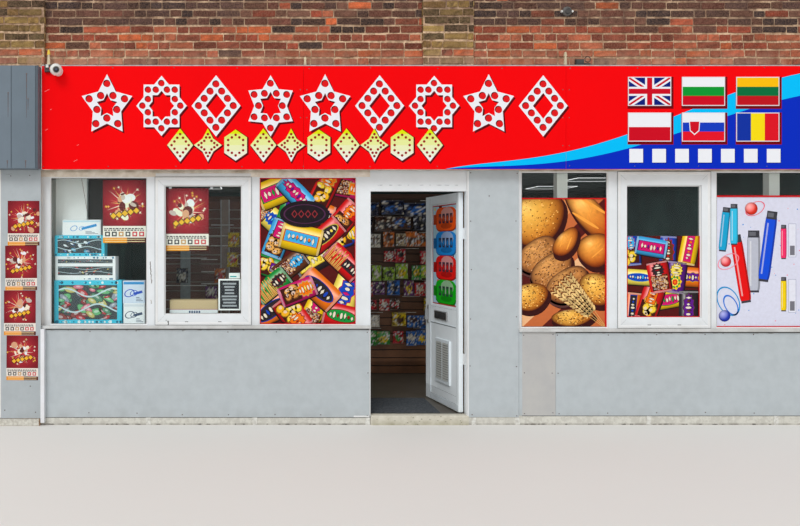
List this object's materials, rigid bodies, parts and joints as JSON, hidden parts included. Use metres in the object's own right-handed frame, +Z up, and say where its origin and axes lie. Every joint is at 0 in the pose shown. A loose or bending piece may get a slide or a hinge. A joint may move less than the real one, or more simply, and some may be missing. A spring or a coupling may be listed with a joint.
{
  "type": "single-storey corner shop building",
  "caption": "Single-storey brick shop with a red sign, white framed windows over grey panels and one inward-opening door.",
  "frame": {"origin": "centre of the overall bounding box in plan, at pavement level", "axes": "+X right along the shop front, +Y into the shop, +Z up"},
  "size_m": [8.58, 7.131, 4.425],
  "materials": {
    "brickwork": "weathered red and brown brick with pale mortar",
    "pier_brick": "weathered yellow stock brick",
    "party_brick": "plain weathered brick",
    "concrete": "worn concrete",
    "coping_stone": "weathered cast stone",
    "floor_finish": "dark brown vinyl floor",
    "mat": "grey ribbed entrance mat",
    "roofing": "mineral roofing felt",
    "ceiling_board": "dark grey ceiling",
    "grey_panel": "light grey cladding sheet",
    "dark_panel": "dark grey-blue painted sheet",
    "white_frame": "white plastic frame section",
    "plinth_paint": "flaking white paint on concrete",
    "sign_red": "glossy red sign sheet with applied print",
    "sign_timber": "softwood rail",
    "soffit_board": "weathered painted board",
    "flashing": "thin folded edge strip",
    "clear_glass": "clear window glass with prints on it",
    "camera_white": "white camera housing",
    "slat_brown": "brown slotted board",
    "packets": "mixed coloured packets",
    "cartons": "printed cartons",
    "light_diffuser": "white light fitting",
    "white_paint": "white painted post",
    "hinge_metal": "white hinge",
    "door_white": "white plastic door leaf",
    "door_print": "printed door panel",
    "bright_metal": "satin metal"
  },
  "bodies": {
    "building": {"floor_slab": "floor_finish", "door_step": "concrete", "entrance_mat": "mat", "left_party_wall": "party_brick", "right_party_wall": "party_brick", "rear_wall": "party_brick", "rear_piers": "pier_brick", "pier_bases": "pier_brick", "door_side_column": "party_brick", "front_beam": "concrete", "front_piers": "pier_brick", "left_upper_wall": "brickwork", "right_upper_wall": "brickwork", "roof_deck": "roofing", "ceiling": "ceiling_board", "parapet_copings": "coping_stone", "stall_risers": "concrete", "riser_panels": "grey_panel", "plinths": "plinth_paint", "door_cladding_panel": "grey_panel", "window_sills": "white_frame", "window_ledges": "white_frame", "window_heads": "soffit_board", "window_posts": "white_frame", "casement_frames": "white_frame", "window_glass": "clear_glass", "door_head_board": "white_frame", "door_jambs": "white_frame", "door_hinges": "hinge_metal", "pilaster_panels": "grey_panel", "pilaster_heads": "dark_panel", "sign_rails": "sign_timber", "sign_soffit": "soffit_board", "sign_flashing": "flashing", "sign_panels": "sign_red", "security_camera": "camera_white", "slatwall": "slat_brown", "packet_rows": "packets", "window_display": "cartons", "side_slatwall": "slat_brown", "ceiling_lights": "light_diffuser", "inner_posts": "white_paint"},
    "door": {"door_leaf": "door_white", "door_panel": "door_print", "letter_plate": "bright_metal", "door_vent": "door_white", "door_handle": "bright_metal"}
  },
  "joints": [
    {"name": "door_hinge", "type": "hinge", "parent": "building", "child": "door", "pos_m": [0.1805, -3.214, 1.2], "axis": [0, 0, -1], "range_deg": [-81.5, 8.5]}
  ]
}
